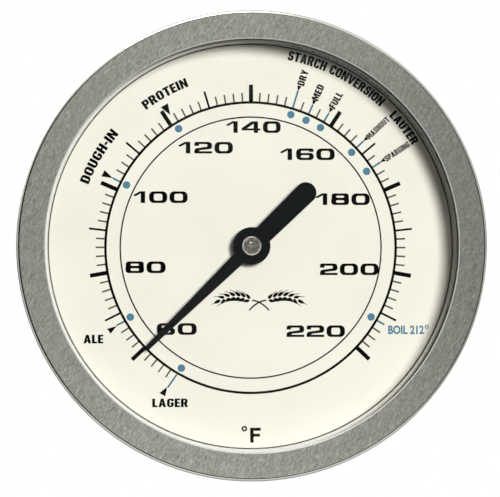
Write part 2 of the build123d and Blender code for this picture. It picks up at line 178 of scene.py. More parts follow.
def mesh_of(ob):
    """Evaluated mesh of a flat curve or text, welded, as (verts, faces) with z 0..1."""
    import bmesh

    bpy.context.view_layer.update()
    dg = bpy.context.evaluated_depsgraph_get()
    me = bpy.data.meshes.new_from_object(ob.evaluated_get(dg))
    bm = bmesh.new()
    bm.from_mesh(me)
    bmesh.ops.remove_doubles(bm, verts=bm.verts, dist=1e-5)
    bmesh.ops.recalc_face_normals(bm, faces=bm.faces)
    bm.verts.index_update()
    zs = [v.co.z for v in bm.verts]
    z0, z1 = min(zs), max(zs)
    verts = [(v.co.x, v.co.y, (v.co.z - z0) / (z1 - z0)) for v in bm.verts]
    faces = [tuple(v.index for v in f.verts) for f in bm.faces]
    bm.free()
    bpy.data.meshes.remove(me)
    return verts, faces


def rounded(points):
    """Closed outline from (x, y, radius) corners."""
    out = []
    n = len(points)
    for i in range(n):
        px, py = points[i - 1][:2]
        cx, cy = points[i][:2]
        r = points[i][2] if len(points[i]) > 2 else 0.0
        nx, ny = points[(i + 1) % n][:2]
        a = Vector((px - cx, py - cy))
        b = Vector((nx - cx, ny - cy))
        la, lb = a.length, b.length
        if r < 1e-6 or la < 1e-6 or lb < 1e-6:
            out.append((cx, cy))
            continue
        a.normalize()
        b.normalize()
        turn = math.acos(max(-1, min(1, a.dot(b))))
        cut = min(r / math.tan(turn / 2), 0.5 * la, 0.5 * lb)
        rr = cut * math.tan(turn / 2)
        mid = (a + b).normalized()
        centre = Vector((cx, cy)) + mid * (rr / math.sin(turn / 2))
        s = Vector((cx, cy)) + a * cut - centre
        e = Vector((cx, cy)) + b * cut - centre
        a0 = math.atan2(s.y, s.x)
        a1 = math.atan2(e.y, e.x)
        d = (a1 - a0 + math.pi) % (2 * math.pi) - math.pi
        steps = max(3, int(abs(d) / math.radians(13)))
        for k in range(steps + 1):
            t = a0 + d * k / steps
            out.append((centre.x + rr * math.cos(t), centre.y + rr * math.sin(t)))
    return out


def box_loop(x0, y0, x1, y1, r):
    return rounded([(x0, y0, r), (x1, y0, r), (x1, y1, r), (x0, y1, r)])


# Wide square numerals, 11.6 high: width and outlines.
DIGITS = {
    "0": (18.4, [
        box_loop(0, 0, 18.4, 11.6, 4.6),
        box_loop(4.8, 2.4, 13.6, 9.2, 1.9),
    ]),
    "1": (12.3, [
        rounded([(7.9, 0, 0), (12.3, 0, 0), (12.3, 11.6, 0), (6.9, 11.6, 1.2), (0, 7.8, 0), (2.2, 6.6, 0), (7.9, 9.6, 0)]),
    ]),
    "2": (17.7, [
        rounded([
            (0, 0, 0), (17.7, 0, 0), (17.7, 2.25, 0), (5.0, 2.25, 0.3), (5.0, 3.2, 0.9), (17.7, 4.6, 3.0),
            (17.7, 11.6, 3.8), (0, 11.6, 3.4), (0, 7.5, 0), (4.4, 7.5, 0), (4.4, 9.35, 1.0),
            (13.0, 9.35, 1.2), (13.0, 6.8, 0.9), (0, 4.9, 2.8),
        ]),
    ]),
    "4": (19.6, [
        rounded([
            (12.6, 0, 0), (16.9, 0, 0), (16.9, 2.4, 0), (18.9, 2.4, 0), (19.6, 3.3, 0), (18.9, 4.4, 0), (16.9, 4.4, 0),
            (16.9, 11.5, 0), (10.1, 11.5, 0.8), (0, 4.7, 0.6), (0, 2.4, 0), (12.6, 2.4, 0),
        ]),
        rounded([(5.3, 4.4, 0), (12.4, 4.4, 0), (12.4, 9.1, 0)]),
    ]),
    "6": (17.7, [
        rounded([
            (0, 0, 4.4), (17.7, 0, 4.2), (17.7, 7.1, 3.4), (4.7, 7.1, 0.2), (4.7, 9.3, 1.3), (13.0, 9.3, 0.6),
            (13.0, 8.2, 0), (17.4, 8.2, 0), (17.4, 11.6, 3.2), (0, 11.6, 4.4),
        ]),
        box_loop(4.7, 2.3, 13.1, 4.9, 1.2),
    ]),
    "8": (17.9, [
        rounded([
            (0, 0, 4.0), (17.9, 0, 4.0), (17.9, 6.3, 2.2), (16.7, 6.35, 0.2), (17.6, 6.5, 1.6), (17.6, 11.6, 3.4),
            (0.3, 11.6, 3.4), (0.3, 6.5, 1.6), (1.2, 6.35, 0.2), (0, 6.3, 2.2),
        ]),
        box_loop(4.9, 2.3, 13.0, 4.75, 1.1),
        box_loop(5.0, 7.3, 12.9, 9.35, 1.0),
    ]),
}
GAP = {"1": 4.1}
_digit_mesh = {}


def number(ink, text, x0, x1, yc):
    """Draws text between x0 and x1, centred on height yc."""
    width, places = 0.0, []
    for i, ch in enumerate(text):
        places.append(width)
        width += DIGITS[ch][0]
        if i < len(text) - 1:
            width += GAP.get(ch, 2.4)
    s = (x1 - x0) / width
    for ch, px in zip(text, places):
        if ch not in _digit_mesh:
            _digit_mesh[ch] = filled(DIGITS[ch][1])
        verts, faces = _digit_mesh[ch]
        ink.add([(x0 + (px + x) * s, yc + (y - 5.8), z) for x, y, z in verts], faces)


_glyphs = {}

# Bold narrow capitals, 10 high, stems 2.5: width and outlines.
CAPS = {
    "A": (7.0, [rounded([(0, 0), (2.45, 0), (2.9, 2.0), (4.1, 2.0), (4.55, 0), (7, 0), (4.75, 10), (2.25, 10)]),
                rounded([(3.2, 3.7), (3.8, 3.7), (3.5, 6.4)])]),
    "B": (6.1, [rounded([(0, 0), (6.1, 0, 2.4), (6.1, 5.0, 1.4), (5.5, 5.3, 0.2), (5.8, 5.7, 1.0), (5.8, 10, 2.4), (0, 10)]),
                box_loop(2.5, 1.9, 3.7, 4.4, 0.5), box_loop(2.5, 6.1, 3.5, 8.2, 0.5)]),
    "C": (6.0, [rounded([(6, 6.7), (6, 10, 2.9), (0, 10, 2.9), (0, 0, 2.9), (6, 0, 2.9), (6, 3.3), (3.6, 3.3), (3.6, 1.8, 0.55),
                         (2.5, 1.8, 0.5), (2.5, 8.2, 0.5), (3.6, 8.2, 0.55), (3.6, 6.7)])]),
    "D": (6.2, [rounded([(0, 0), (6.2, 0, 2.9), (6.2, 10, 2.9), (0, 10)]),
                rounded([(2.5, 1.9), (3.7, 1.9, 1.0), (3.7, 8.1, 1.0), (2.5, 8.1)])]),
    "E": (5.0, [rounded([(0, 0), (5, 0), (5, 2), (2.5, 2), (2.5, 4.1), (4.7, 4.1), (4.7, 6), (2.5, 6), (2.5, 8), (5, 8), (5, 10), (0, 10)])]),
    "F": (4.9, [rounded([(0, 0), (2.5, 0), (2.5, 3.9), (4.6, 3.9), (4.6, 5.9), (2.5, 5.9), (2.5, 8), (4.9, 8), (4.9, 10), (0, 10)])]),
    "G": (6.2, [rounded([(6.2, 5.5), (3.4, 5.5), (3.4, 3.7), (3.8, 3.7), (3.8, 1.8, 0.6), (2.5, 1.8, 0.5), (2.5, 8.2, 0.5), (3.8, 8.2, 0.6),
                         (3.8, 6.9), (6.2, 6.9), (6.2, 10, 2.9), (0, 10, 2.9), (0, 0, 2.9), (6.2, 0, 2.9)])]),
    "H": (6.4, [rounded([(0, 0), (2.5, 0), (2.5, 4.1), (3.9, 4.1), (3.9, 0), (6.4, 0), (6.4, 10), (3.9, 10), (3.9, 6.1), (2.5, 6.1), (2.5, 10), (0, 10)])]),
    "I": (2.5, [rounded([(0, 0), (2.5, 0), (2.5, 10), (0, 10)])]),
    "L": (4.8, [rounded([(0, 0), (4.8, 0), (4.8, 2.05), (2.5, 2.05), (2.5, 10), (0, 10)])]),
    "M": (8.4, [rounded([(0, 0), (2.1, 0), (2.1, 6.2), (3.55, 1.2), (4.85, 1.2), (6.3, 6.2), (6.3, 0), (8.4, 0), (8.4, 10), (5.5, 10), (4.2, 5.4), (2.9, 10), (0, 10)])]),
    "N": (6.6, [rounded([(0, 0), (2.3, 0), (2.3, 5.3), (4.3, 0), (6.6, 0), (6.6, 10), (4.3, 10), (4.3, 4.7), (2.3, 10), (0, 10)])]),
    "O": (6.4, [box_loop(0, 0, 6.4, 10, 2.9), box_loop(2.5, 1.8, 3.9, 8.2, 0.65)]),
    "P": (6.0, [rounded([(0, 0), (2.5, 0), (2.5, 3.7), (6, 3.7, 2.4), (6, 10, 2.4), (0, 10)]),
                rounded([(2.5, 5.6), (3.6, 5.6, 0.7), (3.6, 8.1, 0.7), (2.5, 8.1)])]),
    "R": (6.5, [rounded([(0, 0), (2.5, 0), (2.5, 3.9), (2.9, 3.9), (3.85, 0), (6.5, 0), (5.2, 4.4), (6.1, 5.2, 0.9), (6.1, 10, 2.4), (0, 10)]),
                rounded([(2.5, 5.7), (3.6, 5.7, 0.7), (3.6, 8.1, 0.7), (2.5, 8.1)])]),
    "S": (5.8, [rounded([(0, 3.3), (0, 0, 2.7), (5.8, 0, 2.7), (5.8, 5.3, 2.0), (2.45, 6.3, 0.6), (2.45, 8.3, 0.45), (3.4, 8.3, 0.45), (3.4, 6.9),
                         (5.7, 6.9), (5.7, 10, 2.7), (0.1, 10, 2.7), (0.1, 4.9, 2.0), (3.4, 3.9, 0.6), (3.4, 1.7, 0.45), (2.4, 1.7, 0.45), (2.4, 3.3)])]),
    "T": (5.8, [rounded([(1.65, 0), (4.15, 0), (4.15, 8), (5.8, 8), (5.8, 10), (0, 10), (0, 8), (1.65, 8)])]),
    "U": (6.2, [rounded([(0, 10), (0, 0, 2.9), (6.2, 0, 2.9), (6.2, 10), (3.75, 10), (3.75, 1.9, 0.6), (2.45, 1.9, 0.6), (2.45, 10)])]),
    "V": (6.8, [rounded([(0, 10), (2.2, 0), (4.6, 0), (6.8, 10), (4.4, 10), (3.4, 3.6), (2.4, 10)])]),
    "Y": (6.6, [rounded([(2.05, 0), (4.55, 0), (4.55, 3.8), (6.6, 10), (4.2, 10), (3.3, 6.3), (2.4, 10), (0, 10), (2.05, 3.8)])]),
    "-": (3.0, [rounded([(0, 3.5), (3, 3.5), (3, 5.6), (0, 5.6)])]),
}


def cap(ch):
    """Outline of one bold capital, cap height 1: (verts, faces, width)."""
    if ch not in _glyphs:
        wide, loops = CAPS[ch]
        verts, faces = filled(loops)
        _glyphs[ch] = ([(x / 10, y / 10, z) for x, y, z in verts], faces, wide / 10)
    return _glyphs[ch]


def glyph(text, weight):
    """Upright bold sans outline of text, scaled to cap height 1, starting at x 0: (verts, faces, width)."""
    key = (text, weight)
    if key not in _glyphs:
        def make(body):
            cu = bpy.data.curves.new("glyph", "FONT")
            cu.body = body
            cu.size = 10.0
            cu.offset = weight * 10.0
            cu.extrude = 0.5
            cu.resolution_u = 4
            cu.fill_mode = "BOTH"
            ob = bpy.data.objects.new("glyph", cu)
            COLL.objects.link(ob)
            got = mesh_of(ob)
            bpy.data.objects.remove(ob)
            bpy.data.curves.remove(cu)
            return got

        if "cap" not in _glyphs or _glyphs["cap"][0] != weight:
            cap_v, _ = make("H")
            _glyphs["cap"] = (weight, min(v[1] for v in cap_v), max(v[1] for v in cap_v))
        _, c0, c1 = _glyphs["cap"]
        verts, faces = make(text)
        x0 = min(v[0] for v in verts)
        x1 = max(v[0] for v in verts)
        h = c1 - c0
        _glyphs[key] = ([((x - x0) / h, (y - c0) / h, z) for x, y, z in verts], faces, (x1 - x0) / h)
    return _glyphs[key]


def word(ink, text, origin, angle, length, height, gap=0.08):
    """Straight word: its baseline starts at origin and runs at angle (degrees counter-clockwise from +x)."""
    ca, sa = math.cos(math.radians(angle)), math.sin(math.radians(angle))
    total = sum(cap(ch)[2] for ch in text) + gap * (len(text) - 1)
    sx = length / total
    at = 0.0
    for ch in text:
        verts, faces, wide = cap(ch)
        out = []
        for x, y, z in verts:
            a, b = (at + x) * sx, y * height
            out.append((origin[0] + a * ca - b * sa, origin[1] + a * sa + b * ca, z))
        ink.add(out, faces)
        at += wide + gap


def light_word(ink, text, origin, length, height, weight):
    """Horizontal word in the lighter built-in face."""
    verts, faces, w = glyph(text, weight)
    sx = length / w
    ink.add([(origin[0] + x * sx, origin[1] + y * height, z) for x, y, z in verts], faces)


def arc_word(ink, text, radius, start, end, height, gap=0.08, space=0.30):
    """Word on an arc, letters upright outward, from start to end degrees clockwise from 12 o'clock."""
    widths = [space if ch == " " else cap(ch)[2] for ch in text]
    total = sum(widths) + gap * (len(text) - 1)
    arc = math.radians(end - start) * (radius + height * 0.35)
    s = arc / total
    at = 0.0
    for ch, w in zip(text, widths):
        if ch != " ":
            verts, faces, _ = cap(ch)
            mid = math.radians(start) + (at + w / 2) * s / (radius + height * 0.35)
            ex, ey = math.sin(mid), math.cos(mid)
            tx, ty = ey, -ex
            out = []
            for x, y, z in verts:
                a, b = (x - w / 2) * s, radius + y * height
                out.append((b * ex + a * tx, b * ey + a * ty, z))
            ink.add(out, faces)
        at += w + gap


def polar(r, angle):
    a = math.radians(angle)
    return r * math.sin(a), r * math.cos(a)


# =============================================================== materials
class Mat:
    """Small helper round a node tree."""

    def __init__(self, name):
        self.m = bpy.data.materials.new(name)
        self.m.use_nodes = True
        self.nt = self.m.node_tree
        self.nt.nodes.clear()
        self.out = self.nt.nodes.new("ShaderNodeOutputMaterial")
        self.b = self.nt.nodes.new("ShaderNodeBsdfPrincipled")
        self.nt.links.new(self.b.outputs[0], self.out.inputs[0])
        self.tc = self.nt.nodes.new("ShaderNodeTexCoord")
        self.pos = self.math_v("SCALE", self.tc.outputs["Object"], scale=1000.0)  # millimetres

    def node(self, kind, **kw):
        n = self.nt.nodes.new(kind)
        for k, v in kw.items():
            setattr(n, k, v)
        return n

    def link(self, a, b):
        self.nt.links.new(a, b)

    def math_v(self, op, a, b=None, scale=None):
        n = self.node("ShaderNodeVectorMath", operation=op)
        self.link(a, n.inputs[0])
        if b is not None:
            if isinstance(b, tuple):
                n.inputs[1].default_value = b
            else:
                self.link(b, n.inputs[1])
        if scale is not None:
            n.inputs["Scale"].default_value = scale
        return n.outputs["Value"] if op in ("LENGTH", "DOT_PRODUCT") else n.outputs["Vector"]

    def math(self, op, a, b=None, c=None, clamp=False):
        n = self.node("ShaderNodeMath", operation=op, use_clamp=clamp)
        for i, x in enumerate((a, b, c)):
            if x is None:
                continue
            if isinstance(x, (int, float)):
                n.inputs[i].default_value = x
            else:
                self.link(x, n.inputs[i])
        return n.outputs[0]

    def sep(self, v):
        n = self.node("ShaderNodeSeparateXYZ")
        self.link(v, n.inputs[0])
        return n.outputs

    def comb(self, x, y, z):
        n = self.node("ShaderNodeCombineXYZ")
        for i, s in enumerate((x, y, z)):
            if isinstance(s, (int, float)):
                n.inputs[i].default_value = s
            else:
                self.link(s, n.inputs[i])
        return n.outputs[0]

    def noise(self, vec, scale, detail=3.0, rough=0.55, distort=0.0):
        n = self.node("ShaderNodeTexNoise")
        self.link(vec, n.inputs["Vector"])
        n.inputs["Scale"].default_value = scale
        n.inputs["Detail"].default_value = detail
        n.inputs["Roughness"].default_value = rough
        n.inputs["Distortion"].default_value = distort
        return n.outputs["Fac"]

    def ramp(self, fac, stops, interp="LINEAR"):
        n = self.node("ShaderNodeValToRGB")
        n.color_ramp.interpolation = interp
        els = n.color_ramp.elements
        while len(els) > 1:
            els.remove(els[-1])
        els[0].position, els[0].color = stops[0][0], rgba(stops[0][1])
        for p, c in stops[1:]:
            e = els.new(p)
            e.color = rgba(c)
        self.link(fac, n.inputs[0])
        return n.outputs[0]

    def span(self, fac, a0, a1, b0, b1, clamp=True):
        n = self.node("ShaderNodeMapRange", clamp=clamp)
        self.link(fac, n.inputs["Value"])
        for k, v in (("From Min", a0), ("From Max", a1), ("To Min", b0), ("To Max", b1)):
            n.inputs[k].default_value = v
        return n.outputs["Result"]

    def mix(self, fac, a, b, mode="MIX"):
        n = self.node("ShaderNodeMix", data_type="RGBA", blend_type=mode)
        if isinstance(fac, (int, float)):
            n.inputs["Factor"].default_value = fac
        else:
            self.link(fac, n.inputs["Factor"])
        for key, x in ((6, a), (7, b)):
            if isinstance(x, tuple):
                n.inputs[key].default_value = rgba(x)
            else:
                self.link(x, n.inputs[key])
        return n.outputs[2]

    def bump(self, height, strength, distance, normal=None):
        n = self.node("ShaderNodeBump")
        n.inputs["Strength"].default_value = strength
        n.inputs["Distance"].default_value = distance
        self.link(height, n.inputs["Height"])
        if normal is not None:
            self.link(normal, n.inputs["Normal"])
        return n.outputs[0]

    def set(self, **kw):
        for k, v in kw.items():
            s = self.b.inputs[k.replace("_", " ")]
            if isinstance(v, (int, float)):
                s.default_value = v
            elif isinstance(v, tuple):
                s.default_value = rgba(v) if len(s.default_value) == 4 else v
            else:
                self.link(v, s)
        return self


def rgba(c):
    if isinstance(c, (int, float)):
        return (c, c, c, 1.0)
    return tuple(c) if len(c) == 4 else (*c, 1.0)


def turned_coords(m, cx=0.0, cz=0.0):
    """(radius, along the axis, turn) about an axis parallel to Y, as outputs, in mm."""
    p = m.math_v("SUBTRACT", m.pos, (cx, 0.0, cz))
    s = m.sep(p)
    r = m.math("SQRT", m.math("ADD", m.math("MULTIPLY", s[0], s[0]), m.math("MULTIPLY", s[2], s[2])))
    turn = m.math("ARCTAN2", s[0], s[2])
    return r, s[1], turn, p


def turned_metal(name, dark, light, rough, rings=9.0, grain=0.35, centre=(0.0, 0.0), bump=0.25, stain=None, metallic=1.0):
    """Metal machined or spun about the Y axis: fine rings, small stains, slight unevenness."""
    m = Mat(name)
    r, y, turn, p = turned_coords(m, *centre)
    ringv = m.comb(r, y, m.math("MULTIPLY", turn, 0.35))
    fine = m.noise(ringv, rings, 2.0, 0.6)
    broad = m.noise(ringv, rings * 0.16, 2.0, 0.5)
    blot = m.noise(p, 0.22, 4.0, 0.6)
    tone = m.math("ADD", m.math("MULTIPLY", fine, grain), m.math("ADD", m.math("MULTIPLY", broad, 0.5 - grain / 2), m.math("MULTIPLY", blot, 0.5 - grain / 2)))
    col = m.ramp(tone, [(0.34, dark), (0.66, light)])
    if stain:
        col = m.mix(m.span(m.noise(p, 0.55, 5.0, 0.65), 0.56, 0.78, 0.0, 0.45), col, stain)
    m.set(
        Base_Color=col, Metallic=metallic,
        Roughness=m.math("ADD", m.span(fine, 0.3, 0.7, rough - 0.06, rough + 0.08), m.span(blot, 0.35, 0.7, -0.02, 0.05)),
        Normal=m.bump(fine, bump, 0.00002),
    )
    return m.m


def brushed_bezel_material():
    m = Mat("brushed_bezel")
    a = math.radians(62.0)
    along = m.math_v("DOT_PRODUCT", m.pos, (math.cos(a), 0.0, math.sin(a)))
    across = m.math_v("DOT_PRODUCT", m.pos, (-math.sin(a), 0.0, math.cos(a)))
    r, y, turn, p = turned_coords(m)
    # grit lines: fine, medium and a few long scratches
    fine = m.noise(m.comb(m.math("MULTIPLY", across, 9.6), m.math("MULTIPLY", along, 1.4), 0.0), 1.0, 3.0, 0.7)
    medium = m.noise(m.comb(m.math("MULTIPLY", across, 4.8), m.math("MULTIPLY", along, 0.5), 7.0), 1.0, 2.0, 0.6)
    broad = m.noise(m.comb(m.math("MULTIPLY", across, 1.5), m.math("MULTIPLY", along, 0.32), 3.0), 1.0, 2.0, 0.5)
    cloud = m.noise(p, 0.07, 2.0, 0.5)
    face = m.math("MULTIPLY", m.span(y, BEZEL_Y + 0.05, BEZEL_Y + 0.15, 1.0, 0.0), m.span(r, 40.85, 41.0, 1.0, 0.0))
    # skirt and rim: fine lines round the ring
    round_lines = m.noise(m.comb(r, y, m.math("MULTIPLY", turn, 0.4)), 7.0, 2.0, 0.6)
    lines = m.math("ADD", m.math("MULTIPLY", fine, 0.60), m.math("ADD", m.math("MULTIPLY", medium, 0.28), m.math("MULTIPLY", broad, 0.12)))
    tone = m.math("ADD", m.math("MULTIPLY", lines, face), m.math("MULTIPLY", round_lines, m.math("SUBTRACT", 1.0, face)))
    col = m.ramp(tone, [(0.36, (0.20, 0.20, 0.17)), (0.5, (0.50, 0.50, 0.455)), (0.64, (0.90, 0.90, 0.84))])
    col = m.mix(m.span(cloud, 0.35, 0.65, 0.0, 0.15), col, (0.56, 0.57, 0.50))
    # the rounded outer rim: smoother (real polish) and painted brighter as a highlight
    polished_rim_highlight = m.span(r, 40.72, 41.10, 0.0, 1.0)
    col = m.mix(m.math("MULTIPLY", polished_rim_highlight, 0.7), col, (0.76, 0.75, 0.69))
    groove_shade = m.math("MULTIPLY", m.span(r, 40.86, 40.90, 0.0, 1.0), m.span(r, 41.06, 41.11, 1.0, 0.0))
    groove_shade = m.math("MULTIPLY", groove_shade, m.span(y, BEZEL_Y + 0.3, BEZEL_Y + 0.4, 1.0, 0.0))
    # painted shade in the groove, darkest on the side away from the key lamp and lightest towards it
    shade_away_from_key = m.math("ADD", m.math("MULTIPLY", m.math("COSINE", m.math("ADD", turn, math.radians(118.0))), 0.42), 0.52)
    col = m.mix(m.math("MULTIPLY", groove_shade, shade_away_from_key), col, (0.045, 0.035, 0.022))
    # painted highlight: the inner front edge of the bore is painted near-white
    lip_highlight = m.math("MULTIPLY", m.span(r, 36.62, 36.70, 1.0, 0.0), m.span(y, BEZEL_Y + 0.2, BEZEL_Y + 0.3, 1.0, 0.0))
    col = m.mix(m.math("MULTIPLY", lip_highlight, 0.55), col, (0.93, 0.93, 0.90))
    # painted shade: the wall of the bore behind the front lip is painted dark
    bore_shade = m.math("MULTIPLY", m.span(r, 36.50, 36.53, 1.0, 0.0), m.span(y, BEZEL_Y + 0.5, BEZEL_Y + 0.6, 0.0, 1.0))
    col = m.mix(m.math("MULTIPLY", bore_shade, 0.5), col, (0.20, 0.20, 0.19))
    height = tone
    m.set(
        Base_Color=col, Metallic=1.0,
        Roughness=m.math("ADD", m.span(tone, 0.3, 0.7, 0.37, 0.26), m.math("MULTIPLY", polished_rim_highlight, -0.08)),
        Normal=m.bump(height, 0.55, 0.00003),
    )
    return m.m


def case_material():
    return turned_metal("case_steel", (0.50, 0.50, 0.48), (0.72, 0.72, 0.70), 0.30, rings=5.0, grain=0.45, bump=0.2, stain=(0.52, 0.49, 0.43))


def dial_material():
    m = Mat("dial_cream")
    speck = m.noise(m.pos, 3.2, 4.0, 0.6)
    cloud = m.noise(m.pos, 0.09, 3.0, 0.5)
    col = m.ramp(m.math("ADD", m.math("MULTIPLY", speck, 0.35), m.math("MULTIPLY", cloud, 0.65)), [
        (0.30, (0.875, 0.842, 0.735)), (0.70, (0.915, 0.882, 0.775)),
    ])
    r, y, turn, p = turned_coords(m)
    # the bare steel edge of the blank shows past the enamel
    col = m.mix(m.span(r, 40.0, 40.15, 0.0, 1.0), col, (0.55, 0.54, 0.5))
    # painted contact shadow: a thin dark line on the dial at the foot of the spacer ring
    line = m.math("MULTIPLY", m.span(r, 36.15, 36.18, 0.0, 1.0), m.span(r, 36.32, 36.40, 1.0, 0.0))
    col = m.mix(m.math("MULTIPLY", line, 0.95), col, (0.05, 0.045, 0.04))
    m.set(Base_Color=col, Roughness=m.span(speck, 0.3, 0.7, 0.42, 0.55), Specular_IOR_Level=0.3,
          Normal=m.bump(speck, 0.08, 0.00002))
    return m.m


def ink_material(name, dark, light, rough=0.45):
    m = Mat(name)
    n = m.noise(m.pos, 5.0, 4.0, 0.7)
    edge = m.noise(m.pos, 0.4, 2.0, 0.5)
    m.set(
        Base_Color=m.ramp(m.math("ADD", m.math("MULTIPLY", n, 0.6), m.math("MULTIPLY", edge, 0.4)), [(0.32, dark), (0.72, light)]),
        Roughness=m.span(n, 0.3, 0.7, rough - 0.08, rough + 0.1), Specular_IOR_Level=0.03,
        Normal=m.bump(n, 0.1, 0.00001),
    )
    return m.m


def black_paint_material():
    m = Mat("black_paint")
    n = m.noise(m.pos, 7.0, 4.0, 0.7)
    big = m.noise(m.pos, 0.5, 3.0, 0.6)
    col = m.ramp(m.math("ADD", m.math("MULTIPLY", n, 0.5), m.math("MULTIPLY", big, 0.5)), [
        (0.3, (0.0022, 0.0028, 0.0030)), (0.7, (0.0052, 0.0062, 0.0066)),
    ])
    # the sheared edge is blacker than the rolled face
    s = m.sep(m.pos)
    edge = m.span(s[1], -24.86, -24.80, 0.0, 1.0)
    col = m.mix(edge, col, (0.003, 0.003, 0.0035))
    m.set(Base_Color=col, Roughness=m.span(n, 0.3, 0.7, 0.45, 0.62), Specular_IOR_Level=0.10,
          Normal=m.bump(n, 0.25, 0.00002))
    return m.m


def hub_material():
    m = Mat("bright_plate")
    r, y, turn, p = turned_coords(m)
    mott = m.noise(p, 1.7, 5.0, 0.75, 1.5)
    fine = m.noise(m.comb(r, y, m.math("MULTIPLY", turn, 0.3)), 8.0, 2.0, 0.6)
    face = m.ramp(m.math("ADD", m.math("MULTIPLY", mott, 0.8), m.math("MULTIPLY", fine, 0.2)), [
        (0.36, (0.10, 0.088, 0.075)), (0.52, (0.30, 0.27, 0.24)), (0.66, (0.85, 0.83, 0.80)),
    ])
    # the chamfered rim of the hub: smoother (real polish) and painted near-white as a highlight
    polished_rim_highlight = m.span(r, 1.40, 1.48, 0.0, 1.0)
    col = m.mix(polished_rim_highlight, face, (0.92, 0.91, 0.88))
    m.set(Base_Color=col, Metallic=1.0, Roughness=m.math("ADD", m.span(mott, 0.3, 0.7, 0.42, 0.30), m.math("MULTIPLY", polished_rim_highlight, -0.12)),
          Normal=m.bump(mott, 0.5, 0.00006))
    return m.m


def glass_material():
    m = Mat("clear_glass")
    nt = m.nt
    nt.nodes.remove(m.b)
    tr = m.node("ShaderNodeBsdfTransparent")
    gl = m.node("ShaderNodeBsdfGlossy")
    smudge = m.noise(m.pos, 0.12, 4.0, 0.6)
    fleck = m.noise(m.pos, 4.0, 2.0, 0.5)
    m.link(m.ramp(smudge, [(0.3, (0.985, 0.99, 0.988)), (0.7, (0.995, 0.998, 0.997))]), tr.inputs["Color"])
    m.link(m.math("ADD", m.span(smudge, 0.4, 0.75, 0.015, 0.06), m.span(fleck, 0.68, 0.8, 0.0, 0.08)), gl.inputs["Roughness"])
    gl.inputs["Color"].default_value = (0.95, 0.97, 0.97, 1)
    fr = m.node("ShaderNodeFresnel")
    fr.inputs["IOR"].default_value = 1.42
    mx = m.node("ShaderNodeMixShader")
    m.link(m.math("MULTIPLY", fr.outputs[0], 0.20), mx.inputs[0])
    m.link(tr.outputs[0], mx.inputs[1])
    m.link(gl.outputs[0], mx.inputs[2])
    m.link(mx.outputs[0], m.out.inputs[0])
    return m.m


def rubber_material():
    m = Mat("black_rubber")
    n = m.noise(m.pos, 4.0, 5.0, 0.7)
    big = m.noise(m.pos, 0.4, 3.0, 0.6)
    m.set(Base_Color=m.ramp(m.math("ADD", m.math("MULTIPLY", n, 0.5), m.math("MULTIPLY", big, 0.5)), [(0.3, (0.012, 0.012, 0.012)), (0.7, (0.030, 0.029, 0.028))]),
          Roughness=m.span(n, 0.3, 0.7, 0.55, 0.75), Normal=m.bump(n, 0.3, 0.00004))
    return m.m


def polymer_material():
    m = Mat("white_polymer")
    n = m.noise(m.pos, 3.0, 4.0, 0.6)
    r, y, turn, p = turned_coords(m)
    rings = m.noise(m.comb(r, y, 0.0), 6.0, 2.0, 0.5)
    m.set(Base_Color=m.ramp(m.math("ADD", m.math("MULTIPLY", n, 0.5), m.math("MULTIPLY", rings, 0.5)), [(0.3, (0.74, 0.74, 0.71)), (0.7, (0.84, 0.84, 0.82))]),
          Roughness=m.span(n, 0.3, 0.7, 0.38, 0.55), Subsurface_Weight=0.0, Normal=m.bump(rings, 0.15, 0.00003))
    return m.m


def bright_ring_material():
    """Rolled channel: smooth wall with faint lines along it, painted shade at its foot and a darker non-metal flange.
    """
    m = Mat("bright_ring")
    r, y, turn, p = turned_coords(m)
    lines = m.noise(m.comb(0.0, y, m.math("MULTIPLY", turn, 0.25)), 3.2, 2.0, 0.55)
    blot = m.noise(p, 0.2, 3.0, 0.6)
    col = m.ramp(m.math("ADD", m.math("MULTIPLY", lines, 0.6), m.math("MULTIPLY", blot, 0.4)), [(0.32, (0.72, 0.72, 0.70)), (0.68, (0.90, 0.90, 0.88))])
    # painted shade: a dark band where the ring's rolled foot meets the dial; the flange under the glass is a darker
    # non-metal grey
    foot_shade = m.span(y, -22.85, -22.75, 0.0, 1.0)
    col = m.mix(foot_shade, col, (0.10, 0.10, 0.095))
    flange = m.span(y, -26.50, -26.44, 1.0, 0.0)
    col = m.mix(flange, col, (0.50, 0.50, 0.485))
    m.set(Base_Color=col, Metallic=m.math("SUBTRACT", 1.0, flange), Roughness=m.span(blot, 0.3, 0.7, 0.08, 0.16), Normal=m.bump(lines, 0.08, 0.00002))
    return m.m


bezel_mat = brushed_bezel_material()
case_mat = case_material()
turned_mat = turned_metal("turned_steel", (0.46, 0.46, 0.45), (0.74, 0.74, 0.72), 0.26, rings=6.0, grain=0.5, bump=0.35)
tube_mat = turned_metal("tube_steel", (0.56, 0.56, 0.55), (0.76, 0.76, 0.75), 0.20, rings=3.2, grain=0.4, bump=0.12, stain=(0.60, 0.55, 0.46))
ring_mat = bright_ring_material()
hub_mat = hub_material()
spring_mat = turned_metal("spring_steel", (0.16, 0.16, 0.165), (0.34, 0.34, 0.345), 0.42, rings=4.0, grain=0.3, bump=0.2)
brass_mat = turned_metal("brass", (0.58, 0.42, 0.17), (0.82, 0.64, 0.32), 0.27, rings=6.0, grain=0.45, bump=0.3, stain=(0.45, 0.28, 0.12))
reset_brass_mat = turned_metal("brass_pinion", (0.58, 0.42, 0.17), (0.82, 0.64, 0.32), 0.27, rings=6.0, grain=0.45, bump=0.3, centre=(0.0, -17.0), stain=(0.45, 0.28, 0.12))
reset_steel_mat = turned_metal("turned_steel_screw", (0.50, 0.50, 0.49), (0.78, 0.78, 0.76), 0.24, rings=7.0, grain=0.5, bump=0.35, centre=(0.0, -17.0))
bimetal_mat = turned_metal("bimetal", (0.40, 0.36, 0.31), (0.66, 0.60, 0.53), 0.34, rings=3.0, grain=0.35, bump=0.2, stain=(0.42, 0.33, 0.26))
paint_mat = black_paint_material()
dial_mat = dial_material()
glass_mat = glass_material()
rubber_mat = rubber_material()
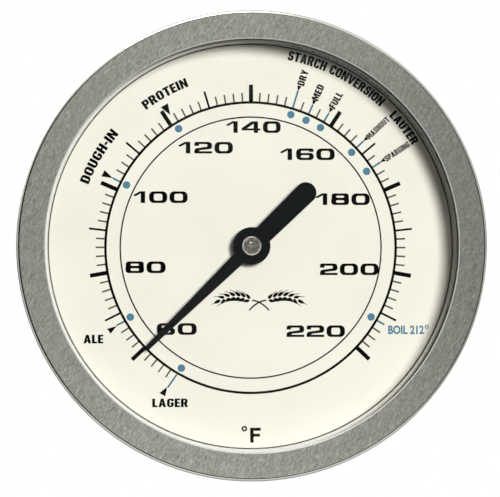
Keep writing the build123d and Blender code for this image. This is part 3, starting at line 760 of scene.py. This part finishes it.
polymer_mat = polymer_material()
ink_black = ink_material("ink_black", (0.0008, 0.0008, 0.0008), (0.0025, 0.0024, 0.0024))
ink_grey = ink_material("ink_grey", (0.075, 0.070, 0.060), (0.125, 0.115, 0.100))
ink_blue = ink_material("ink_blue", (0.070, 0.200, 0.300), (0.105, 0.250, 0.350))
ink_line = ink_material("ink_blue_line", (0.040, 0.150, 0.230), (0.075, 0.215, 0.310))

FINISH = {
    "hex_fitting": turned_mat, "stem_tube": tube_mat, "stem_tip_plug": tube_mat,
    "guide_bush_front": brass_mat, "guide_bush_rear": brass_mat, "bimetal_coil": bimetal_mat,
    "seat_washer": polymer_mat, "hub_o_ring": rubber_mat, "thrust_washer": brass_mat,
    "reset_gear": brass_mat, "hub_retaining_ring": spring_mat,
    "pointer": paint_mat, "pointer_hub": hub_mat, "pointer_shaft": hub_mat, "coil_collar": brass_mat,
    "case_back": case_mat, "case_bush": turned_mat, "dial_plate": dial_mat, "spacer_ring": ring_mat,
    "lens": glass_mat, "lens_gasket": rubber_mat, "bezel_ring": bezel_mat, "reset_bush": brass_mat,
    "reset_screw": reset_steel_mat, "reset_pinion": reset_brass_mat, "reset_o_ring": rubber_mat,
    "reset_clip": spring_mat,
}
FINISH["reset_bush"] = reset_brass_mat
for name, ob in NODES.items():
    ob.data.materials.clear()
    ob.data.materials.append(FINISH[name])
    mark_sharp(ob, 32)


# ================================================================= printing
scale = Ink()
scale.ring(144.0, 146.45)
scale.ring(129.82, 131.2)
minor = Ink()
blue = Ink()
blue_lines = Ink()


def theta(t):
    return (t - 140.0) * 5.0 / 3.0


for t in range(52, 221, 2):
    a = theta(t)
    if t % 20 == 0:
        scale.bar(145.5, 163.0, a, 4.1)
    elif t % 10 == 0 and t != 150:
        scale.bar(145.5, 162.8, a, 2.0)
    elif t not in (68, 102, 150, 154, 158, 168, 174, 212):
        minor.bar(145.9, 155.0, a, 1.6)

ZONES = [
    # temperature, dot angle, end of the blue line, tip of the triangle, its length, its width
    (50, -150.0, 0.0, 0.0, 0.0, 0.0),
    (68, -120.0, 0.0, 0.0, 0.0, 0.0),
    (102, -63.4, 154.4, 154.6, 10.6, 7.0),
    (121, -31.4, 0.0, 155.4, 11.0, 8.2),
    (150, 16.7, 164.0, 163.8, 5.4, 4.4),
    (154, 23.4, 155.8, 155.8, 5.2, 4.4),
    (158, 30.1, 156.0, 156.4, 5.0, 4.4),
    (168, 46.6, 155.6, 155.6, 5.0, 4.2),
    (174, 56.6, 155.6, 155.6, 5.2, 4.2),
    (212, 120.0, 154.5, 0.0, 0.0, 0.0),
]
words = Ink()
for t, a, line_end, tip, tri_len, tri_w in ZONES:
    x, y = polar(139.0, a)
    blue.disc(x, y, 3.75)
    if line_end:
        blue_lines.bar(145.9, line_end, a, 1.75)
    if tip:
        words.bar(tip, tip + tri_len, a, 0.25, tri_w)

blue_lines.line((-74.0, -126.6), (-83.0, -139.6), 1.75, 1.75)
blue_lines.line((-125.6, -73.4), (-134.1, -77.8), 1.75, 1.75)
words.poly([(-83.6, -139.0), (-91.4, -145.2), (-85.6, -148.4)])
words.poly([(-133.7, -78.2), (-143.4, -81.2), (-140.0, -86.0)])

numerals = Ink()
for text, x0, x1, y0, y1 in (
    ("60", 156.0, 195.8, 322.8, 334.4), ("80", 124.8, 164.8, 261.2, 272.8),
    ("100", 132.2, 186.7, 191.2, 202.8), ("120", 177.0, 231.9, 141.6, 153.2),
    ("140", 224.8, 279.8, 120.8, 132.4), ("160", 278.8, 334.0, 147.9, 159.5),
    ("180", 314.2, 369.2, 192.9, 204.5), ("200", 319.2, 378.1, 263.1, 274.8),
    ("220", 285.7, 344.1, 325.0, 336.7),
):
    number(numerals, text, x0 - 250.06, x1 - 250.06, 247.17 - (y0 + y1) / 2)

arc_word(words, "PROTEIN", 172.6, -37.3, -21.2, 9.3)
arc_word(words, "DOUGH-IN", 173.7, -68.85, -49.55, 9.7)
arc_word(words, "STARCH CONVERSION", 191.5, 11.0, 42.4, 9.6)
arc_word(words, "LAUTER", 191.5, 46.4, 57.6, 8.8)
for text, a, r0, r1, h in (
    ("DRY", 17.0, 170.0, 186.0, 7.2), ("MED", 23.4, 161.2, 177.6, 7.2), ("FULL", 30.0, 161.8, 179.2, 7.2),
    ("MASHOUT", 46.7, 161.0, 189.2, 6.0), ("SPARGING", 56.7, 161.4, 190.0, 6.0),
):
    x, y = polar(r0, a)
    tx, ty = math.cos(math.radians(a)), -math.sin(math.radians(a))
    word(words, text, (x + tx * h / 2, y + ty * h / 2), 90.0 - a, r1 - r0, h)
word(words, "ALE", (83.2 - 250.06, 247.17 - 342.8), 0.0, 19.6, 8.6)
word(words, "LAGER", (151.6 - 250.06, 247.17 - 406.4), 0.0, 35.6, 8.5)
words.add(*filled([[(-0.86, -194.83), (2.59, -194.83), (2.59, -188.83), (8.9, -188.83), (8.9, -185.93), (2.59, -185.93),
                    (2.59, -182.93), (9.74, -182.93), (9.74, -180.03), (-0.86, -180.03)]]))
degree = [[(cx, cy) for cx, cy in ((-6.65 + r * math.cos(k * math.pi / 14), -180.9 + r * math.sin(k * math.pi / 14)) for k in range(28))] for r in (2.8, 1.2)]
words.add(*filled(degree))
boil = Ink()
light_word(boil, "BOIL 212", (387.6 - 250.06, 247.17 - 333.9), 36.0, 8.6, 0.035)
small = [[(176.4 + r * math.cos(k * math.pi / 12), -79.4 + r * math.sin(k * math.pi / 12)) for k in range(24)] for r in (2.05, 1.0)]
boil.add(*filled(small))

# a plain pair of barley ears in the middle of the lower dial
emblem = Ink()
loops = []
CX, CY = 258.2 - 250.06, 247.17 - 301.5


def grain(cx, cy, ang, length, width):
    pts = []
    n = 18
    for i in range(n):
        t = 2 * math.pi * i / n
        u = math.cos(t)
        x = length / 2 * u
        y = width / 2 * math.sin(t) * (1.0 - 0.28 * u)
        pts.append((cx + x * math.cos(ang) - y * math.sin(ang), cy + x * math.sin(ang) + y * math.cos(ang)))
    return pts


for side in (-1, 1):
    # the ear's middle line rises outward, then nods
    line = [(side * (7.0 + 5.0 * i), 1.5 + 5.2 * math.sin(0.36 * i) - 0.18 * i * i * 0.5) for i in range(8)]
    for i in range(1, 8):
        px, py = line[i]
        qx, qy = line[i - 1]
        d = math.atan2(py - qy, px - qx)
        for s in (-1, 1):
            if i == 7:
                continue
            size = 1.0 - 0.05 * abs(i - 3)
            a = d + s * 0.50
            gx = px + 2.7 * size * math.cos(d + s * 1.57)
            gy = py + 2.7 * size * math.sin(d + s * 1.57)
            loops.append(grain(gx, gy, a, 7.0 * size, 3.3 * size))
            tipx, tipy = gx + 3.2 * size * math.cos(a), gy + 3.2 * size * math.sin(a)
            a2 = d + s * 0.30
            emblem.line((tipx, tipy), (tipx + 5.4 * math.cos(a2), tipy + 5.4 * math.sin(a2)), 0.75, 0.3)
        if i == 7:
            loops.append(grain(px, py, d, 7.0, 3.2))
            emblem.line((px + 3.2 * math.cos(d), py + 3.2 * math.sin(d)), (px + 7.0 * math.cos(d), py + 7.0 * math.sin(d)), 0.75, 0.3)
    # stalk curving down across the middle
    prev = (line[0][0], line[0][1])
    for k in range(1, 9):
        t = k / 8
        nx = side * (7.0 - 17.0 * t)
        ny = 1.5 - 9.0 * t * t - 1.0 * t
        emblem.line(prev, (nx, ny), 1.5, 1.4)
        prev = (nx, ny)
for loop in loops:
    verts, faces = filled([loop])
    emblem.add(verts, faces)
emblem.v = [(x + CX, y + CY, z) for x, y, z in emblem.v]

scale.build("dial_scale", ink_black)
minor.build("dial_minor_ticks", ink_grey, lift=-0.002)
blue.build("dial_zone_dots", ink_blue)
blue_lines.build("dial_zone_lines", ink_line, lift=-0.002)
numerals.build("dial_numerals", ink_black, lift=0.002)
words.build("dial_words", ink_black, lift=0.001)
boil.build("dial_boil_word", ink_blue, lift=0.001)
emblem.build("dial_emblem", ink_black, lift=0.001)


# ====================================================== fitting with its thread
def fitting_rows():
    """Rows of (y, radius by angle) down the outside of the fitting, front to tip. Angles run from +Z towards +X."""
    seg = 360
    th = np.arange(seg) * 2 * math.pi / seg
    rows = []

    def flat(y, r):
        rows.append((y, np.full(seg, float(r))))

    def hub(y, r):
        z = np.abs(np.cos(th))
        rows.append((y, np.minimum(r, 4.3 / np.maximum(z, 1e-6))))

    hub(-20.0, 4.7)
    hub(-19.7, 5.0)
    hub(-19.0, 5.0)
    flat(-19.0, 4.15)
    flat(-18.25, 4.15)
    hub(-18.25, 5.0)
    hub(-16.2, 5.0)
    flat(-16.2, 5.75)
    flat(-15.95, 6.0)
    flat(-14.4, 6.0)
    flat(-14.4, 4.9)
    flat(-12.9, 4.9)
    flat(-12.9, 6.0)
    flat(-9.5, 6.0)
    # hexagon with flats at +Z and -Z, corners slightly rounded, chamfered at both ends
    af = 11.1
    k = np.mod(th + math.pi / 6, math.pi / 3) - math.pi / 6
    hexr = af / np.cos(k)
    hexr = np.minimum(hexr, 12.72)

    def hexrow(y, cap):
        rows.append((y, np.minimum(hexr, cap)))

    hexrow(-9.5, 10.9)
    for y in (-9.38, -9.1, -8.8, -8.5, -8.2):
        hexrow(y, 10.9 + (y + 9.5) * 1.6)
    hexrow(-7.9, 13.4)
    for y in (-6.4, -4.9, -3.4, -1.9):
        hexrow(y, 13.4)
    for y in (-1.6, -1.3, -1.0, -0.7, -0.4, -0.12, 0.0):
        hexrow(y, 10.9 - y * 1.6)
    flat(0.0, 9.75)
    flat(0.15, 9.6)
    flat(2.05, 9.6)
    # 14 threads to the inch, right hand, taper 1 in 16
    pitch, depth = 1.814, 1.25
    y = 2.12
    while y < 14.95:
        crest = 10.36 + (15.0 - y) / 32
        ph = np.mod(y / pitch - th / (2 * math.pi), 1.0)
        up = np.clip(ph / 0.40, 0, 1)
        down = np.clip((0.90 - ph) / 0.395, 0, 1)
        tri = np.minimum(up, down)
        r = crest - depth * (1 - tri)
        r = np.minimum(r, 9.6 + (y - 2.05) * 1.1)
        r = np.minimum(r, 9.15 + (15.0 - y) * 1.1)
        rows.append((y, r))
        y += 0.11
    flat(15.0, 9.06)
    return th, rows


def build_fitting():
    th, rows = fitting_rows()
    seg = len(th)
    s, c = np.sin(th), np.cos(th)
    verts, faces = [], []
    for y, r in rows:
        for i in range(seg):
            verts.append((r[i] * s[i] * MM, y * MM, r[i] * c[i] * MM))
    bore = 3.02
    inner = len(verts)
    for y in (rows[-1][0] - 0.0, rows[0][0]):
        for i in range(seg):
            verts.append((bore * s[i] * MM, y * MM, bore * c[i] * MM))
    n = len(rows)
    for j in range(n - 1):
        for i in range(seg):
            k = (i + 1) % seg
            faces.append((j * seg + i, j * seg + k, (j + 1) * seg + k, (j + 1) * seg + i))
    last = (n - 1) * seg
    for i in range(seg):
        k = (i + 1) % seg
        faces.append((last + i, last + k, inner + k, inner + i))
        faces.append((inner + i, inner + k, inner + seg + k, inner + seg + i))
        faces.append((inner + seg + i, inner + seg + k, k, i))
    ob = add_mesh("threaded_fitting", verts, faces, turned_mat, "stem")
    import bmesh

    bm = bmesh.new()
    bm.from_mesh(ob.data)
    bmesh.ops.remove_doubles(bm, verts=bm.verts, dist=1e-8)
    bmesh.ops.dissolve_degenerate(bm, edges=bm.edges, dist=1e-8)
    bmesh.ops.recalc_face_normals(bm, faces=bm.faces)
    bm.to_mesh(ob.data)
    bm.free()
    mark_sharp(ob, 28)
    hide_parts("hex_fitting")
    return ob


build_fitting()


# ============================================================ lens with its edges
def build_lens():
    lo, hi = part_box("lens")
    rad = (hi.x - lo.x) / 2 / MM - 0.01
    front, rear = lo.y / MM + 0.012, hi.y / MM - 0.012
    prof = [(0.0, front), (rad - 0.30, front), (rad - 0.12, front + 0.05), (rad, front + 0.22), (rad, rear - 0.22), (rad - 0.12, rear - 0.05), (rad - 0.30, rear), (0.0, rear)]
    seg = 192
    verts, faces = [(0.0, front * MM, 0.0)], []
    for r, y in prof[1:-1]:
        for i in range(seg):
            a = 2 * math.pi * i / seg
            verts.append((r * math.sin(a) * MM, y * MM, r * math.cos(a) * MM))
    verts.append((0.0, rear * MM, 0.0))
    n = len(prof) - 2
    for i in range(seg):
        k = (i + 1) % seg
        faces.append((0, 1 + k, 1 + i))
        for j in range(n - 1):
            a, b = 1 + j * seg, 1 + (j + 1) * seg
            faces.append((a + i, a + k, b + k, b + i))
        faces.append((1 + (n - 1) * seg + i, 1 + (n - 1) * seg + k, len(verts) - 1))
    ob = add_mesh("lens_glass", verts, faces, glass_mat, "case")
    import bmesh

    bm = bmesh.new()
    bm.from_mesh(ob.data)
    bmesh.ops.recalc_face_normals(bm, faces=bm.faces)
    bm.to_mesh(ob.data)
    bm.free()
    mark_sharp(ob, 20)
    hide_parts("lens")
    return ob


build_lens()


# ========================================================= bimetal coil
def build_coil():
    """Strip 1.25 x 0.25 mm wound 16 turns on a 4 mm mean diameter."""
    turns, pitch, start, rad = 16, 2.2, 23.3, 2.0
    wide, thick = 1.25, 0.25
    per = 48
    n = turns * per
    verts, faces = [], []
    prof = [(-wide / 2, -thick / 2 + 0.05), (-wide / 2 + 0.05, -thick / 2), (0.0, -thick / 2), (wide / 2 - 0.05, -thick / 2),
            (wide / 2, -thick / 2 + 0.05), (wide / 2, thick / 2 - 0.05), (wide / 2 - 0.05, thick / 2), (0.0, thick / 2),
            (-wide / 2 + 0.05, thick / 2), (-wide / 2, thick / 2 - 0.05)]
    box_lo, box_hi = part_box("bimetal_coil")
    for i in range(n + 1):
        a = 2 * math.pi * i / per
        y = start + pitch * i / per
        for w, t in prof:
            r = rad + t
            verts.append((r * math.cos(-a) * MM, (y + w) * MM, r * math.sin(-a) * MM))
    m = len(prof)
    for i in range(n):
        for k in range(m):
            l = (k + 1) % m
            faces.append((i * m + k, (i + 1) * m + k, (i + 1) * m + l, i * m + l))
    faces.append(tuple(range(m)))
    faces.append(tuple(reversed(range(n * m, n * m + m))))
    ob = add_mesh("bimetal_helix", verts, faces, bimetal_mat, None)
    import bmesh

    bm = bmesh.new()
    bm.from_mesh(ob.data)
    bmesh.ops.recalc_face_normals(bm, faces=bm.faces)
    bm.to_mesh(ob.data)
    bm.free()
    mark_sharp(ob, 40)
    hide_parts("bimetal_coil")
    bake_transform(ob)
    return ob


build_coil()


# ==================================================================== stage
def stage_material():
    m = Mat("studio_floor")
    n = m.noise(m.tc.outputs["Object"], 6.0, 3.0, 0.5)
    m.set(Base_Color=m.ramp(n, [(0.3, (0.86, 0.86, 0.85)), (0.7, (0.90, 0.90, 0.89))]), Roughness=0.8, Specular_IOR_Level=0.1)
    return m.m


FLOOR_Z, FLOOR_R = -0.30, 1.75
seg = 96
fv = [(FLOOR_R * math.cos(2 * math.pi * i / seg), FLOOR_R * math.sin(2 * math.pi * i / seg), FLOOR_Z) for i in range(seg)]
fv += [(x, y, FLOOR_Z - 0.02) for x, y, _ in fv]
ff = [tuple(range(seg)), tuple(reversed(range(seg, 2 * seg)))] + [(i, seg + i, seg + (i + 1) % seg, (i + 1) % seg) for i in range(seg)]
floor = add_mesh("studio_floor", fv, ff, stage_material(), None)

# world: white behind the object, a soft grey room for everything else
world = bpy.data.worlds.new("studio")
bpy.context.scene.world = world
world.use_nodes = True
wt = world.node_tree
wt.nodes.clear()
w_out = wt.nodes.new("ShaderNodeOutputWorld")
lp = wt.nodes.new("ShaderNodeLightPath")
tc = wt.nodes.new("ShaderNodeTexCoord")
sp = wt.nodes.new("ShaderNodeSeparateXYZ")
wt.links.new(tc.outputs["Generated"], sp.inputs[0])


def wmath(op, a, b=None, clamp=False):
    n = wt.nodes.new("ShaderNodeMath")
    n.operation = op
    n.use_clamp = clamp
    for i, x in enumerate((a, b)):
        if x is None:
            continue
        if isinstance(x, (int, float)):
            n.inputs[i].default_value = x
        else:
            wt.links.new(x, n.inputs[i])
    return n.outputs[0]


def background(strength, color=(1, 1, 1, 1)):
    n = wt.nodes.new("ShaderNodeBackground")
    n.inputs["Color"].default_value = color
    if isinstance(strength, (int, float)):
        n.inputs["Strength"].default_value = strength
    else:
        wt.links.new(strength, n.inputs["Strength"])
    return n.outputs[0]


X, Y, Z = sp.outputs
xs = wmath("SUBTRACT", X, 0.044)
zs = wmath("SUBTRACT", Z, 0.017)
front = wmath("SUBTRACT", wmath("MULTIPLY", zs, zs), wmath("MULTIPLY", xs, xs))
front = wmath("ADD", wmath("MULTIPLY", front, 50.0), 0.35)
front = wmath("SUBTRACT", front, wmath("MULTIPLY", zs, 2.6))
front = wmath("SUBTRACT", front, wmath("MULTIPLY", xs, 4.0))
front = wmath("MINIMUM", wmath("MAXIMUM", front, 0.03), 1.15)
# the room is evenly pale to the sides and behind
sideways = wmath("MULTIPLY", wmath("ADD", Y, 0.78), 5.0, clamp=True)
# behind the object the room is darker at the horizon, bright overhead
overhead = wmath("MULTIPLY", wmath("SUBTRACT", Z, 0.05), 1.5, clamp=True)
below = wmath("MULTIPLY", wmath("SUBTRACT", -0.15, Z), 0.9, clamp=True)
behind = wmath("ADD", wmath("MULTIPLY", overhead, 0.62), wmath("MULTIPLY", below, 0.25))
behind = wmath("ADD", behind, 0.20)
rear = wmath("MULTIPLY", wmath("ADD", Y, 0.28), 3.5, clamp=True)
side_l = wmath("ADD", wmath("MULTIPLY", wmath("SUBTRACT", 1.0, rear), 0.88), wmath("MULTIPLY", rear, behind))
gloss = wmath("ADD", wmath("MULTIPLY", front, wmath("SUBTRACT", 1.0, sideways)), wmath("MULTIPLY", sideways, side_l))
bg_cam = background(1.0)
bg_diff = background(0.035)
bg_gloss = background(gloss, (1.0, 1.0, 0.985, 1))
mix1 = wt.nodes.new("ShaderNodeMixShader")
first = wmath("SUBTRACT", 1.0, wmath("MINIMUM", lp.outputs["Diffuse Depth"], 1.0))
wt.links.new(wmath("MULTIPLY", lp.outputs["Is Glossy Ray"], first), mix1.inputs[0])
wt.links.new(bg_diff, mix1.inputs[1])
wt.links.new(bg_gloss, mix1.inputs[2])
mix2 = wt.nodes.new("ShaderNodeMixShader")
wt.links.new(lp.outputs["Is Camera Ray"], mix2.inputs[0])
wt.links.new(mix1.outputs[0], mix2.inputs[1])
wt.links.new(bg_cam, mix2.inputs[2])
wt.links.new(mix2.outputs[0], w_out.inputs[0])


def area(name, at, target, size, power, glossy=True, diffuse=True, color=(1, 1, 1)):
    li = bpy.data.lights.new(name, "AREA")
    li.shape = "DISK"
    li.size = size
    li.energy = power
    li.color = color
    ob = bpy.data.objects.new(name, li)
    COLL.objects.link(ob)
    ob.location = at
    ob.rotation_mode = "QUATERNION"
    ob.rotation_quaternion = (Vector(target) - Vector(at)).to_track_quat("-Z", "Y")
    ob.visible_glossy = glossy
    ob.visible_diffuse = diffuse
    ob.visible_camera = False
    return ob


off = math.radians(19.4)
side = Vector((0.805, 0.0, 0.593))
key_at = Vector((0, BEZEL_Y * MM, 0)) + side * (2.0 * math.sin(off)) + Vector((0, -2.0 * math.cos(off), 0))
area("key", key_at, (0, -0.025, 0), 0.62, 43.0, glossy=False)
area("top_strip", (-0.10, -0.45, 0.62), (0, 0, 0), 0.35, 3.0, diffuse=False)
area("back_fill", (-0.6, 0.7, 0.5), (0, 0.02, 0), 0.8, 4.0)
area("low_fill", (0.5, 0.6, -0.15), (0, 0.02, 0), 0.5, 1.0)
# a second lamp beside the key catches only the turned inner ring
ring_glint = area("ring_glint", key_at, (0, -0.025, 0), 0.40, 38.0, glossy=False)
ring_only = bpy.data.collections.new("ring_only")
for ob in [o for o in bpy.data.objects if o.type == "MESH"]:
    if any(slot.material and slot.material.name.startswith("bright_ring") for slot in ob.material_slots):
        ring_only.objects.link(ob)
ring_glint.light_linking.receiver_collection = ring_only
# a lamp of its own keeps the floor pale
floor_lamp = area("floor_lamp", (0.0, 0.3, 1.1), (0.0, 0.3, -0.3), 1.6, 52.0, glossy=False)
floor.visible_diffuse = False
floor.visible_glossy = False
floor_only = bpy.data.collections.new("floor_only")
floor_only.objects.link(floor)
floor_lamp.light_linking.receiver_collection = floor_only

# ------------------------------------------------------------------- camera
cam_data = bpy.data.cameras.new("camera")
cam = bpy.data.objects.new("camera", cam_data)
COLL.objects.link(cam)
DIST = 0.350
cam_data.sensor_width = 36.0
cam_data.lens = DIST * 36.0 / 0.0879
cam_data.clip_start = 0.01
cam_data.clip_end = 30.0
left, up = math.radians(2.5), math.radians(-1.0)
aim = Vector((-0.00052, BEZEL_Y * MM, -0.00056))
back = Vector((-math.sin(left) * math.cos(up), -math.cos(left) * math.cos(up), math.sin(up)))
cam.location = aim + back * DIST
cam.rotation_mode = "QUATERNION"
cam.rotation_quaternion = (-back).to_track_quat("-Z", "Y")
bpy.context.scene.camera = cam

bpy.context.scene.view_settings.view_transform = "Standard"
bpy.context.scene.view_settings.look = "None"
